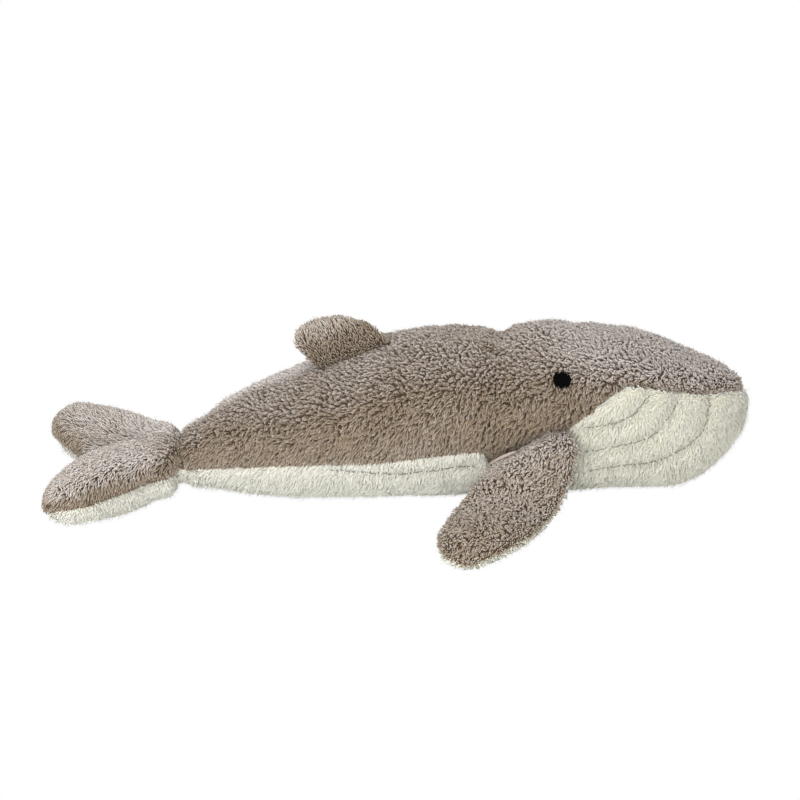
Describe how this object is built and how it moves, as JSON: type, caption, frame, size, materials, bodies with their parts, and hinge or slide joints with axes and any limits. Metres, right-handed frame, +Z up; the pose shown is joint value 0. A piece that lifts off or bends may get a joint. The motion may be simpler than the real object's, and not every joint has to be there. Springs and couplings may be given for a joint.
{
  "type": "stuffed plush whale",
  "caption": "Stuffed plush humpback-style whale lying on its belly, with hinged pectoral flippers, tail flukes and dorsal fin, embroidered eyes and stitched throat pleats.",
  "frame": {"origin": "on the floor under the middle of the whale's bounding box", "axes": "+X towards the nose, +Y to the whale's left, +Z up"},
  "size_m": [0.4494, 0.2588, 0.1162],
  "materials": {
    "back_plush": "curly taupe pile plush",
    "belly_plush": "short cream pile plush",
    "filling": "loose white fibre",
    "pleat_thread": "dark sewing thread",
    "eye_thread": "black satin-stitched thread"
  },
  "bodies": {
    "torso": {"back_panel_left": "back_plush", "back_panel_right": "back_plush", "underside_panel": "belly_plush", "body_filling": "filling", "right_throat_pleat_1": "pleat_thread", "right_throat_pleat_2": "pleat_thread", "right_throat_pleat_3": "pleat_thread", "right_belly_pleat": "pleat_thread", "left_throat_pleat_1": "pleat_thread", "left_throat_pleat_2": "pleat_thread", "left_throat_pleat_3": "pleat_thread", "left_belly_pleat": "pleat_thread", "right_eye": "eye_thread", "left_eye": "eye_thread"},
    "right_flipper": {"right_flipper_upper": "back_plush", "right_flipper_lower": "belly_plush", "right_flipper_filling": "filling"},
    "left_flipper": {"left_flipper_upper": "back_plush", "left_flipper_lower": "belly_plush", "left_flipper_filling": "filling"},
    "flukes": {"flukes_upper": "back_plush", "flukes_lower": "belly_plush", "flukes_filling": "filling"},
    "dorsal_fin": {"dorsal_fin_left": "back_plush", "dorsal_fin_right": "back_plush", "dorsal_fin_filling": "filling"}
  },
  "joints": [
    {"name": "right_flipper_lift", "type": "hinge", "parent": "torso", "child": "right_flipper", "pos_m": [0.07899, -0.05841, 0.04649], "axis": [-0.9426, 0, -0.3338], "range_deg": [-35, 50]},
    {"name": "left_flipper_lift", "type": "hinge", "parent": "torso", "child": "left_flipper", "pos_m": [0.07899, 0.05841, 0.04649], "axis": [0.9426, 0, 0.3338], "range_deg": [-35, 50]},
    {"name": "flukes_lift", "type": "hinge", "parent": "torso", "child": "flukes", "pos_m": [-0.1375, 0, 0.02184], "axis": [0, 1, 0], "range_deg": [-20, 20], "stiffness_Nm_per_rad": 0.6},
    {"name": "dorsal_fin_lean", "type": "hinge", "parent": "torso", "child": "dorsal_fin", "pos_m": [-0.03005, 0, 0.09382], "axis": [0.9428, 0, 0.3333], "range_deg": [-45, 45], "stiffness_Nm_per_rad": 0.02}
  ]
}
